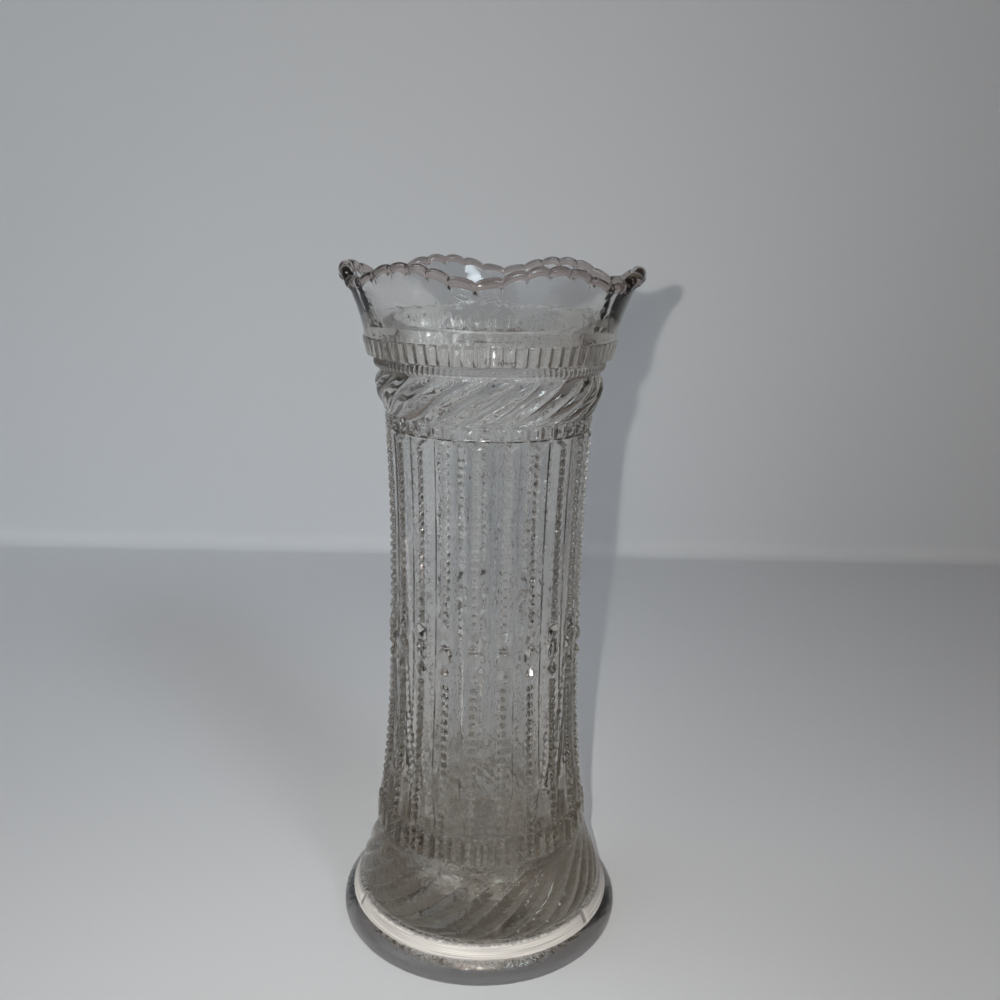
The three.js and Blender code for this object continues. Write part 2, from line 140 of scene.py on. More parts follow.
# Lower block band. A thin ring and, above it, tall flat-faced blocks with rounded heads, two between each
# bead column and the next. The bead columns of the body run down between the pairs.
column_count = 21
bead_half_width = 1.1
bead_half_height = 1.27
bead_proud = 1.2
bead_notch = 0.2
lower_bead_count = 18
small_bead_count = 4
small_bead_rise = 0.3
block_half_width = 1.4
block_centre = 2.75
block_proud = 1.3
block_bevel = 0.5
block_crown_slope = 0.14
block_foot = 31.3
block_head = 37.7
block_band_rows = 36
block_band_margin = 0.15
block_band_lap = 1.5
block_band_bend = 30.5
block_band_radii = (32.4, 31.5, 30.9, 30.6)
block_stations = np.array([0, 0.3, 0.58, 0.84, 1.04, 1.2, 1.42, 1.62, 2.2, 2.75, 3.3, 3.88, 4.12])
lower_ring_level = 29.7
lower_ring_half = 1.05
lower_ring_proud = 0.2


def beads(sideways, level, bottom, top, count):
    """How far a column of beads stands out at a distance from its middle line."""
    pitch = (top - bottom) / count
    along = ((level - bottom) / pitch) % 1 - 0.5
    dome = 1 - (sideways / bead_half_width) ** 2 - (along * pitch / bead_half_height) ** 2
    strip = bead_notch * np.clip(1 - (sideways / bead_half_width) ** 2, 0, 1)
    return np.maximum(bead_proud * np.sqrt(np.clip(dome, 0, 1)), strip)


def column_azimuths(offsets, radius):
    """The azimuths of stations measured in millimetres from each column's middle line, to its right, and
    mirrored to its left. The last station is the middle of the plain panel."""
    right = np.degrees(offsets / radius)
    left = -right[:, -2:0:-1] + 360 / column_count
    one = np.concatenate([right, left], axis=1)
    turns = np.arange(column_count) * 360 / column_count
    return (one[:, None, :] + turns[None, :, None]).reshape(len(one), -1)


def repeated(values):
    """The values of the stations of one half panel, mirrored and repeated round the vase."""
    one = np.concatenate([values, values[:, -2:0:-1]], axis=1)
    return np.tile(one, (1, column_count))


block_band_bottom, panels_bottom = span("lower_block_band")
panels_top = span("lower_panels")[1]
lower_bead_pitch = (panels_top - panels_bottom) / lower_bead_count
block_band_top = panels_bottom + block_band_lap
level = np.linspace(block_band_bottom + block_band_margin, block_band_top, block_band_rows)[:, None]
bends = [block_band_bottom, block_band_bend, panels_bottom, block_band_top]
root = np.interp(level, bends, block_band_radii)
half_panel = np.pi * root / column_count
stations = np.concatenate([block_stations[None] + 0 * level, half_panel], axis=1)
inset = block_half_width - np.abs(stations - block_centre)
head = block_half_width - np.hypot(stations - block_centre, level - block_head)
inset = np.where(level > block_head, head, np.minimum(inset, level - block_foot))
crown = block_crown_slope * np.clip(inset, 0, block_half_width)
blocks = block_proud * np.clip(inset / block_bevel, 0, 1) + crown
small_bead_foot = block_foot + small_bead_rise
small_bead_head = small_bead_foot + small_bead_count * lower_bead_pitch
small_beads = beads(stations, level, small_bead_foot, small_bead_head, small_bead_count)
small_beads = np.where(level > block_foot, small_beads, 0)
ring_form = np.sqrt(np.clip(1 - ((level - lower_ring_level) / lower_ring_half) ** 2, 0, 1))
ring = lower_ring_proud * ring_form + 0 * stations
relief = np.maximum(np.maximum(blocks, small_beads), ring)
add_rows(column_azimuths(stations, root), root + repeated(relief), level)

# Panelled body. Twenty-one columns of round beads stand on a waisted wall, with a flat-topped ridge up the
# middle of the plain panel between each two. A ridge widens to a pointed leaf at its foot and ends under a
# gable at its head, and a group of cut jewels interrupts each column at the waist.
waist_level = 105
waist_radius = 27.5
panel_foot_radius = 30.9
panel_head_radius = 28.9
waist_curve = 2.6
ridge_half_width = 1.1
ridge_proud = 0.34
ridge_bevel = 0.13
leaf_point = 58.5
leaf_foot = 41.5
leaf_half_width = 3.4
leaf_gap = 1.5
leaf_blend = 1.2
leaf_proud = 0.95
leaf_fall = 1.05
gable_foot = 152.3
gable_proud = 0.95
gable_bevel = 1.125
gable_margin = 0.1
upper_bead_count = 20
first_row_rise = 0.35
lower_row_pitch = 0.43
jewel_row_pitch = 0.3
upper_row_pitch = 0.421
gable_row_pitch = 0.24
gable_rows_start = 150.9
gable_rows_gap = 0.1
last_row_gap = 0.05
bead_stations = np.array([0, 0.28, 0.55, 0.82, 1.03, 1.2])
plain_shares = np.array([0.27, 0.5, 0.74, 1])

waist_bottom, waist_top = span("waist_jewel_band")
panel_head = span("upper_panels")[1]
level = np.concatenate([
    np.arange(block_band_top + first_row_rise, waist_bottom, lower_row_pitch),
    np.arange(waist_bottom, waist_top, jewel_row_pitch),
    np.arange(waist_top, gable_rows_start - gable_rows_gap, upper_row_pitch),
    np.arange(gable_rows_start, panel_head - last_row_gap, gable_row_pitch),
])[:, None]
reach = np.where(level < waist_level, waist_level - panels_bottom, panel_head - waist_level)
spread = np.where(level < waist_level, panel_foot_radius, panel_head_radius) - waist_radius
root = waist_radius + spread * (np.abs(level - waist_level) / reach) ** waist_curve
half_panel = np.pi * root / column_count
leaf = leaf_half_width * (leaf_point - level) / (leaf_point - leaf_foot)
edge = np.clip(leaf, ridge_half_width, half_panel - leaf_gap)
plain_start = bead_stations[-1]
plain_width = half_panel - edge - ridge_bevel - plain_start
plain_stations = plain_start + plain_width * plain_shares[None]
ridge_stations = half_panel - np.concatenate([edge - ridge_bevel, edge * 0.5, 0 * edge], axis=1)
stations = np.concatenate([bead_stations[None] + 0 * level, plain_stations, ridge_stations], axis=1)

from_middle = half_panel - stations
leafy = np.clip((edge - ridge_half_width) / leaf_blend, 0, 1)
top_form = ridge_proud + leafy * (leaf_proud - ridge_proud) * (1 - leaf_fall * from_middle / edge)
flank = np.clip((edge + ridge_bevel - from_middle) / (2 * ridge_bevel), 0, 1)
ridge = np.where(from_middle < edge, top_form * flank, 0)


def oval_jewel(centre, half_width, half_height, proud):
    """A domed jewel on the middle line of a column."""
    across, along = stations / half_width, (level - centre) / half_height
    return proud * np.sqrt(np.clip(1 - across ** 2 - along ** 2, 0, 1))


def square_jewel(centre, half_width, half_height, proud):
    """A jewel cut as a low pyramid on a square."""
    across, along = stations / half_width, np.abs(level - centre) / half_height
    return proud * np.clip(1 - np.maximum(across, along), 0, 1)


def diamond_jewel(centre, half_width, half_height, proud):
    """A jewel cut as a low pyramid on a diamond."""
    across, along = stations / half_width, np.abs(level - centre) / half_height
    return proud * np.clip(1 - across - along, 0, 1)


lower_beads = beads(stations, level, panels_bottom, panels_top, lower_bead_count)
upper_beads = beads(stations, level, waist_top, gable_foot, upper_bead_count)
jewels = np.maximum.reduce([
    diamond_jewel(waist_bottom + 3.1, half_width=2.3, half_height=2.9, proud=1.6),
    oval_jewel(waist_bottom + 8.6, half_width=2.05, half_height=2.7, proud=1.55),
    square_jewel(waist_top - 2.9, half_width=2.1, half_height=2.3, proud=1.5),
    diamond_jewel(waist_top - 5.3, half_width=2.0, half_height=1.0, proud=1.1),
])
columns = np.where(level < waist_bottom, lower_beads, np.where(level > waist_top, upper_beads, jewels))
gable_line = gable_foot + (panel_head - gable_margin - gable_foot) * stations / half_panel
gable = gable_proud * np.clip((level - gable_line) / gable_bevel, 0, 1)
columns = np.where(level > gable_foot, 0, columns)
relief = np.maximum(np.maximum(columns, ridge), gable)
add_rows(column_azimuths(stations, root), root + repeated(relief), level)

# Upper block band. A ring of square blocks under the upper rope, each with a raised frame round a pointed
# jewel, in pairs astride the bead columns.
frame_block_count = 2 * column_count
frame_block_proud = 0.7
frame_block_root = 28.75
frame_block_rise = 0.35
frame_block_edge = 0.45
frame_block_bevel = 0.12
frame_block_height = 0.95
well_depth = 0.35
well_edge = 0.3
well_bevel = 0.09
point_proud = 0.65
point_edge = 0.22
frame_block_stations = np.array([0, 0.07, 0.105, 0.2, 0.27, 0.36, 0.5, 0.64, 0.73, 0.8, 0.895, 0.93])
frame_block_rows = np.array([0.02, 0.07, 0.11, 0.17, 0.27, 0.34, 0.42, 0.5, 0.58, 0.66, 0.73, 0.83, 0.89,
                             0.93, 0.98])

band_bottom, band_top = span("upper_block_band")
share = frame_block_rows[:, None]
level = band_bottom + (band_top - band_bottom) * share
place = np.tile(frame_block_stations, frame_block_count)[None]
number = np.repeat(np.arange(frame_block_count), len(frame_block_stations))[None]
from_centre = np.maximum(np.abs(place - 0.5), np.abs(share - 0.5) * frame_block_height)
block_face = frame_block_proud * np.clip((frame_block_edge - from_centre) / frame_block_bevel, 0, 1)
well = well_depth * np.clip((well_edge - from_centre) / well_bevel, 0, 1)
point = point_proud * np.clip(1 - from_centre / point_edge, 0, 1)
root = frame_block_root + frame_block_rise * share
add_rows((number + place) * 360 / frame_block_count, root + block_face - well + point, level)

# Upper rope band. The same slanting strands as at the foot, pressed smaller, over a wall that bellies out
# under the collar.
upper_strand_turn = 33
upper_rope_depth = 1.4
upper_strand_crest = 0.5
upper_strand_powers = (0.6, 0.6)
upper_rope_rows = 26
upper_rope_outline = [(159.3, 30.1), (161, 30.7), (163, 31.5), (164.5, 32.1), (166, 32.5), (167.5, 32.7),
                      (169.3, 32.4), (171.3, 31.6)]

rope_rows("upper_rope_band", upper_rope_outline, upper_rope_depth, upper_strand_turn, upper_rope_rows,
          upper_strand_crest, upper_strand_powers)

# Toothed collar. The head of the body mould pressed a thin ring of small beads here and, stepped out over
# it, a band of upright round-ended teeth.
ring_bead_count = 126
ring_bead_stations = np.array([0, 0.2, 0.5, 0.8])
ring_bead_share = 0.25
thin_ring_rows = 10
thin_ring_start = 0.03
thin_ring_rise = 0.5
thin_ring_radius = 33
thin_ring_neck = 31.5
tooth_count = 69
tooth_stations = np.array([0, 0.13, 0.19, 0.26, 0.38, 0.5, 0.62, 0.74, 0.81, 0.87])
tooth_rows = np.array([0, 0.02, 0.05, 0.1, 0.18, 0.3, 0.45, 0.6, 0.75, 0.86, 0.93, 0.97, 1])
tooth_proud = 0.65
tooth_height = 5.6
tooth_half_width = 0.42
tooth_flank = 0.16
tooth_end_power = 9
teeth_gap = 0.1
collar_neck = 32.4
collar_root = 34.1
collar_step = 0.05
collar_flare = 1.3

collar_bottom, collar_top = span("toothed_collar")
teeth_bottom = collar_top - tooth_height
share = np.linspace(thin_ring_start, 1, thin_ring_rows)[:, None]
ring_bottom = collar_bottom + thin_ring_rise
level = ring_bottom + (teeth_bottom - teeth_gap - ring_bottom) * share
place = np.tile(ring_bead_stations, ring_bead_count)[None]
number = np.repeat(np.arange(ring_bead_count), len(ring_bead_stations))[None]
swell = np.sqrt(np.clip(1 - (2 * share - 1) ** 2, 0, 1))
bead_dome = np.sqrt(np.clip(1 - (2 * place - 1) ** 2, 0, 1))
bead_form = 1 - ring_bead_share + ring_bead_share * bead_dome
add_rows((number + place) * 360 / ring_bead_count,
         thin_ring_neck + (thin_ring_radius - thin_ring_neck) * swell * bead_form, level)
share = tooth_rows[:, None]
level = teeth_bottom + (collar_top - teeth_gap - teeth_bottom) * share
place = np.tile(tooth_stations, tooth_count)[None]
number = np.repeat(np.arange(tooth_count), len(tooth_stations))[None]
side = np.clip((tooth_half_width - np.abs(place - 0.5)) / tooth_flank, 0, 1)
tooth_end = (1 - np.abs(2 * share - 1) ** tooth_end_power) ** 0.5
tooth_form = np.sin(np.pi / 2 * side) ** 2 * tooth_end
step = np.clip(share / collar_step, 0, 1)
root = collar_neck + (collar_root - collar_neck) * step + collar_flare * share
add_rows((number + place) * 360 / tooth_count, root + tooth_proud * tooth_form, level)

# Flared rim. The plunger and the ring of the mould opened the top out into four lobes. They dip to a corner
# at the front and the back, and at each side an ear is drawn out between them. The edge is a roll of long
# low beads, thicker at the ears, and the whole edge leans a little to the front.
rim_height = 19.6
rim_bead_count = 36
rim_roll = 1.4
ear_roll = 1.9
rim_wall_half = 1.05
rim_bead_sink = 1.1
rim_wall = 2.8
rim_bead_stations = np.array([-0.5, -0.46, -0.41, -0.34, -0.26, -0.17, -0.08, 0, 0.08, 0.17, 0.26, 0.34, 0.41,
                              0.46])
outer_wall_rows = 34
outer_row_start = 0.01
outer_row_power = 0.8
bead_follow_start = 0.85
roll_rows = 19
roll_closing = 0.97
lobe_radius = 36.8
corner_reach = 2.4
corner_dip = 3.3
dip_power = 1.3
ear_dip = 4.6
ear_tip_drop = 1.4
ear_reach = 3.1
ear_half_angle = 26
rim_lean = 1.3
outer_foot = 35.5
outer_flare_power = 1.45
corner_flare_power = 3
ear_flare_power = 1.45

rim_bottom = span("flared_rim")[0]
number = np.repeat(np.arange(rim_bead_count), len(rim_bead_stations))[None]
place = np.tile(rim_bead_stations, rim_bead_count)[None]
azimuth = (number + 0.5 + place) * 360 / rim_bead_count
from_side = np.abs(azimuth % 180 - 90)
on_ear = from_side < ear_half_angle
lobe_half_angle = (90 - ear_half_angle) / 2
lobe_share = np.abs(from_side - 90 + lobe_half_angle) / lobe_half_angle
share = np.where(on_ear, from_side / ear_half_angle, lobe_share)
dip = np.sin(np.pi / 2 * share ** dip_power) ** 2
by_ear = from_side < 90 - lobe_half_angle
drop = np.where(by_ear, ear_dip, corner_dip) * dip + np.where(on_ear, ear_tip_drop * (1 - dip), 0)
reach = np.where(on_ear, corner_reach + ear_reach * (1 - share ** 2), corner_reach * dip)
line_radius = lobe_radius + reach
line_level = rim_bottom + rim_height - drop - rim_lean * np.cos(np.radians(azimuth))
dome_form = np.sqrt(1 - (2 * place) ** 2)
roll = rim_roll + np.where(on_ear, (ear_roll - rim_roll) * (1 - share ** 2), 0)
sink = rim_bead_sink * (1 - dome_form)
slope = np.arctan(outer_flare_power * (line_radius - outer_foot) / (line_level - rim_bottom))
along_wall = (np.sin(slope), np.cos(slope))
across_wall = (np.cos(slope), -np.sin(slope))
under_bead = -np.sqrt(roll ** 2 - rim_wall_half ** 2)
centre_radius = line_radius - rim_wall / 2
reach_power = np.where(by_ear, ear_flare_power, corner_flare_power)


def wall_end(side, share):
    """Where a face of the wall ends under the beads. Only the last part of the wall follows the beads."""
    follow = np.clip((share - bead_follow_start) / (1 - bead_follow_start), 0, 1)
    along = under_bead.mean() + (under_bead - under_bead.mean()) * follow
    lowered = sink.mean() + (sink - sink.mean()) * follow
    radius = centre_radius + side * rim_wall_half * across_wall[0] + along * along_wall[0]
    return radius, line_level - lowered + side * rim_wall_half * across_wall[1] + along * along_wall[1]


share = np.linspace(outer_row_start, 1, outer_wall_rows)[:, None] ** outer_row_power
end_radius, end_level = wall_end(1, share)
opened = (end_radius - reach - outer_foot) * share ** outer_flare_power + reach * share ** reach_power
add_rows(azimuth, outer_foot + opened, rim_bottom + (end_level - rim_bottom) * share)
roll_start = len(vase_rows)
half_turn = np.pi - np.arcsin(rim_wall_half / roll)
around_roll = np.linspace(roll_closing, -roll_closing, roll_rows)[:, None] * half_turn
roll_out = np.cos(around_roll) * along_wall[0] + np.sin(around_roll) * across_wall[0]
roll_up = np.cos(around_roll) * along_wall[1] + np.sin(around_roll) * across_wall[1]
add_rows(azimuth, centre_radius + roll * roll_out, line_level - sink + roll * roll_up)

# Cavity. The plunger left a smooth funnel inside the rim, a level ledge at its foot, and under that a bore
# that tapers from a crisp edge at the throat to a rounded floor well above the table.
floor_level = 9.5
floor_corner = 10
cavity_bottom_radius = 19
throat_radius = 26.5
throat_rise = 2.8
throat_ledge = 5
cavity_points = 126
funnel_rows = 30
funnel_row_end = 0.012
bore_rows = 36
bore_row_drop = 0.4
corner_rows = 10
corner_row_start = 8
floor_rings = (11, 7, 3)

throat_level = rim_bottom + throat_rise
share = np.append(np.linspace(1, funnel_row_end, funnel_rows), 0)[:, None]
end_radius, end_level = wall_end(-1, share)
ledge = np.where(share > 0, throat_ledge, 0)
opened = (end_radius - reach - throat_radius - ledge) * share + reach * share ** reach_power
add_rows(azimuth, throat_radius + ledge + opened, throat_level + (end_level - throat_level) * share)
even = np.arange(cavity_points)[None] * 360 / cavity_points
level = np.linspace(throat_level - bore_row_drop, floor_level + floor_corner, bore_rows)[:, None]
taper = (level - floor_level - floor_corner) / (throat_level - floor_level - floor_corner)
add_rows(even, cavity_bottom_radius + (throat_radius - cavity_bottom_radius) * taper, level)
turn = np.radians(np.linspace(corner_row_start, 90, corner_rows))[:, None]
corner_radius = cavity_bottom_radius - floor_corner + floor_corner * np.cos(turn)
add_rows(even, corner_radius, floor_level + floor_corner * (1 - np.sin(turn)))
for radius in floor_rings:
    add_rows(even, radius, floor_level)

# The pressing. All the zones are one piece of glass, poured and pressed at once and never joined. Its metal
# is clear with a faint mauve-grey cast, fire-polished outside, with the slight waves that the mould leaves.
glass_cast = (0.80, 0.772, 0.722, 1)
glass_density = 60
glass_shadow = (0.36, 0.37, 0.39, 1)
base_shadow = (0.70, 0.69, 0.70, 1)
hollow_shadow = (0.2, 0.2, 0.2, 1)
base_top = 0.039
body_start = 0.052
hollow_top = 0.01
hollow_middle = 0.030
hollow_edge = 0.035
base_wrinkles = 0.75
body_wrinkles = 0.02
wrinkle_size = 620
# Painted reflection: the roll of the rim gets a dark warm tint in its base colour. It stands in for the brown
# room that the edge reflects and is not a colour of the glass.
painted_edge_reflection_colour = (0.62, 0.545, 0.525, 1)
crease_angle = 38
same_turn = 2

points, quads, triangles, matt = [], [], [], []
starts = []
total = 0
for azimuths, xyz in vase_rows:
    starts.append(total)
    points.append(xyz.reshape(-1, 3))
    total += xyz.shape[0] * xyz.shape[1]


def weave(first, second, count):
    """Four-sided faces between two rings with as many points each."""
    here = np.arange(count)
    after = (here + 1) % count
    return np.stack([first + here, first + after, second + after, second + here], axis=1)


def zip_rings(first, first_at, second, second_at):
    """Three-sided faces between two rings with different numbers of points, moving round both in step."""
    order = (np.argsort(first_at % 360), np.argsort(second_at % 360))
    marks = [np.append(at[o] % 360, at[o][0] % 360 + 360) for at, o in zip((first_at, second_at), order)]
    corners = [start + np.append(o, o[0]) for start, o in zip((first, second), order)]
    i = j = 0
    made = []
    while i < len(marks[0]) - 1 or j < len(marks[1]) - 1:
        if j == len(marks[1]) - 1 or (i < len(marks[0]) - 1 and marks[0][i + 1] <= marks[1][j + 1]):
            made.append((corners[0][i], corners[0][i + 1], corners[1][j]))
            i += 1
        else:
            made.append((corners[0][i], corners[1][j + 1], corners[1][j]))
            j += 1
    return made


for zone, (azimuths, xyz) in enumerate(vase_rows):
    rows, count = xyz.shape[:2]
    if zone:
        before_at, before = vase_rows[zone - 1]
        last = starts[zone] - before.shape[1]
        if before.shape[1] == count and np.allclose(before_at[-1], azimuths[0], atol=same_turn):
            quads.append(weave(last, starts[zone], count))
            matt.append(np.full(count, zone == shoulder_start))
        else:
            triangles += zip_rings(last, before_at[-1], starts[zone], azimuths[0])
    for row in range(rows - 1):
        first = starts[zone] + row * count
        quads.append(weave(first, first + count, count))
        matt.append(np.full(count, zone == shoulder_start))
underside_centre, floor_centre = total, total + 1
points.append(np.array([[0, 0, foot_underside[0][1]], [0, 0, floor_level]]))
first_count = vase_rows[0][1].shape[1]
for i in range(first_count):
    triangles.append((underside_centre, (i + 1) % first_count, i))
last_start = starts[-1]
for i in range(cavity_points):
    triangles.append((last_start + i, last_start + (i + 1) % cavity_points, floor_centre))
faces = np.concatenate(quads).tolist() + [tuple(int(n) for n in t) for t in triangles]
vase_mesh = bpy.data.meshes.new("vase_glass")
vase_mesh.from_pydata((np.concatenate(points) / 1000).tolist(), [], faces)
vase_mesh.polygons.foreach_set("use_smooth", np.ones(len(faces), bool))
material_numbers = np.concatenate([np.concatenate(matt).astype(int), np.zeros(len(triangles), int)])
vase_mesh.polygons.foreach_set("material_index", material_numbers.astype(np.int32))
# The points of the roll are marked to carry the painted reflection on the rim's edge.
painted_reflection_mask = vase_mesh.attributes.new("painted_reflection_mask", "FLOAT", "POINT")
in_roll = np.zeros(total + 2, np.float32)
in_roll[starts[roll_start]:starts[roll_start + 1]] = 1
painted_reflection_mask.data.foreach_set("value", in_roll)
vase_mesh.validate()
vase_mesh.set_sharp_from_angle(angle=math.radians(crease_angle))
vase_glass = bpy.data.objects.new("vase_glass", vase_mesh)
bpy.context.scene.collection.objects.link(vase_glass)


def surface_group():
    """The fine surface of pressed glass: slow waves from the mould in its normal, and patches in its
    roughness where the fire polish is worn."""
    group = bpy.data.node_groups.new("pressed_skin", "ShaderNodeTree")
    for name, value in (("Wave size", 260.0), ("Wave depth", 0.2), ("Smooth", 0.02), ("Worn", 0.06)):
        group.interface.new_socket(name, in_out="INPUT", socket_type="NodeSocketFloat").default_value = value
    group.interface.new_socket("Roughness", in_out="OUTPUT", socket_type="NodeSocketFloat")
    group.interface.new_socket("Normal", in_out="OUTPUT", socket_type="NodeSocketVector")
    add, link = group.nodes.new, group.links.new
    given, result = add("NodeGroupInput"), add("NodeGroupOutput")
    place = add("ShaderNodeTexCoord")
    waves = add("ShaderNodeTexNoise")
    waves.inputs["Detail"].default_value = 2
    link(place.outputs["Object"], waves.inputs["Vector"])
    link(given.outputs["Wave size"], waves.inputs["Scale"])
    bump = add("ShaderNodeBump")
    bump.inputs["Distance"].default_value = 0.0006
    link(given.outputs["Wave depth"], bump.inputs["Strength"])
    link(waves.outputs["Fac"], bump.inputs["Height"])
    dust = add("ShaderNodeTexNoise")
    dust.inputs["Scale"].default_value = 95
    dust.inputs["Detail"].default_value = 5
    link(place.outputs["Object"], dust.inputs["Vector"])
    spread = add("ShaderNodeMapRange")
    spread.inputs["From Min"].default_value = 0.42
    spread.inputs["From Max"].default_value = 0.72
    link(dust.outputs["Fac"], spread.inputs["Value"])
    link(given.outputs["Smooth"], spread.inputs["To Min"])
    link(given.outputs["Worn"], spread.inputs["To Max"])
    link(spread.outputs["Result"], result.inputs["Roughness"])
    link(bump.outputs["Normal"], result.inputs["Normal"])
    return group


pressed_skin = surface_group()


def glass_material(name, colour, transmission, smooth, worn):
    """Pressed glass with the skin above, finer wrinkles over the thick base, a faint cast that deepens with
    thickness, and a shadow that is lighter under the base than under the body."""
    material = bpy.data.materials.new(name)
    material.use_nodes = True
    tree = material.node_tree
    add, link = tree.nodes.new, tree.links.new
    surface = tree.nodes["Principled BSDF"]
    output = tree.nodes["Material Output"]
    surface.inputs["Base Color"].default_value = colour
    surface.inputs["Transmission Weight"].default_value = transmission
    surface.inputs["IOR"].default_value = 1.5
    skin = add("ShaderNodeGroup")
    skin.node_tree = pressed_skin
    skin.inputs["Smooth"].default_value = smooth
    skin.inputs["Worn"].default_value = worn
    link(skin.outputs["Roughness"], surface.inputs["Roughness"])
    place = add("ShaderNodeTexCoord")
    parts = add("ShaderNodeSeparateXYZ")
    link(place.outputs["Object"], parts.inputs["Vector"])
    above_base = add("ShaderNodeMapRange")
    above_base.inputs["From Min"].default_value = base_top
    above_base.inputs["From Max"].default_value = body_start
    link(parts.outputs["Z"], above_base.inputs["Value"])
    wrinkle_depth = add("ShaderNodeMapRange")
    wrinkle_depth.inputs["To Min"].default_value = base_wrinkles
    wrinkle_depth.inputs["To Max"].default_value = body_wrinkles
    link(above_base.outputs["Result"], wrinkle_depth.inputs["Value"])
    wrinkles = add("ShaderNodeTexNoise")
    wrinkles.inputs["Scale"].default_value = wrinkle_size
    wrinkles.inputs["Detail"].default_value = 2
    link(place.outputs["Object"], wrinkles.inputs["Vector"])
    wrinkled = add("ShaderNodeBump")
    wrinkled.inputs["Distance"].default_value = 0.0005
    link(wrinkle_depth.outputs["Result"], wrinkled.inputs["Strength"])
    link(wrinkles.outputs["Fac"], wrinkled.inputs["Height"])
    link(skin.outputs["Normal"], wrinkled.inputs["Normal"])
    link(wrinkled.outputs["Normal"], surface.inputs["Normal"])
    shade = add("ShaderNodeMix")
    shade.data_type = "RGBA"
    shade.inputs[6].default_value = base_shadow
    shade.inputs[7].default_value = glass_shadow
    link(above_base.outputs["Result"], shade.inputs[0])
    flat = add("ShaderNodeCombineXYZ")
    link(parts.outputs["X"], flat.inputs["X"])
    link(parts.outputs["Y"], flat.inputs["Y"])
    from_axis = add("ShaderNodeVectorMath")
    from_axis.operation = "LENGTH"
    link(flat.outputs["Vector"], from_axis.inputs[0])
    in_hollow = add("ShaderNodeMapRange")
    in_hollow.inputs["From Min"].default_value = hollow_edge
    in_hollow.inputs["From Max"].default_value = hollow_middle
    link(from_axis.outputs["Value"], in_hollow.inputs["Value"])
    under_floor = add("ShaderNodeMath")
    under_floor.operation = "LESS_THAN"
    under_floor.inputs[1].default_value = hollow_top
    link(parts.outputs["Z"], under_floor.inputs[0])
    hollow = add("ShaderNodeMath")
    hollow.operation = "MULTIPLY"
    link(in_hollow.outputs["Result"], hollow.inputs[0])
    link(under_floor.outputs["Value"], hollow.inputs[1])
    shaded = add("ShaderNodeMix")
    shaded.data_type = "RGBA"
    shaded.inputs[7].default_value = hollow_shadow
    link(hollow.outputs["Value"], shaded.inputs[0])
    link(shade.outputs[2], shaded.inputs[6])
    light = add("ShaderNodeLightPath")
    clear = add("ShaderNodeBsdfTransparent")
    link(shaded.outputs[2], clear.inputs["Color"])
    choice = add("ShaderNodeMixShader")
    link(light.outputs["Is Shadow Ray"], choice.inputs["Fac"])
    link(surface.outputs["BSDF"], choice.inputs[1])
    link(clear.outputs["BSDF"], choice.inputs[2])
    link(choice.outputs["Shader"], output.inputs["Surface"])
    cast = add("ShaderNodeVolumeAbsorption")
    cast.inputs["Color"].default_value = glass_cast
    cast.inputs["Density"].default_value = glass_density
    link(cast.outputs["Volume"], output.inputs["Volume"])
    return material


clear_metal = glass_material("clear_pressed_glass", colour=(1, 1, 1, 1), transmission=1.0, smooth=0.028,
                             worn=0.09)
matt_shoulder = glass_material("matt_ringed_glass", colour=(0.86, 0.83, 0.79, 1), transmission=0.3,
                               smooth=0.35, worn=0.6)
ring_groove_colour = (0.44, 0.415, 0.395, 1)
ring_face_colour = (1.0, 0.965, 0.90, 1)
bare_glass_colour = (0.27, 0.26, 0.25, 1)
ring_squeeze = 4200
ragged_height = 0.0022
bare_from = 0.0110
bare_to = 0.0116
shoulder_slope = 0.48
sunken_from = 0.0434
sunken_to = 0.0431


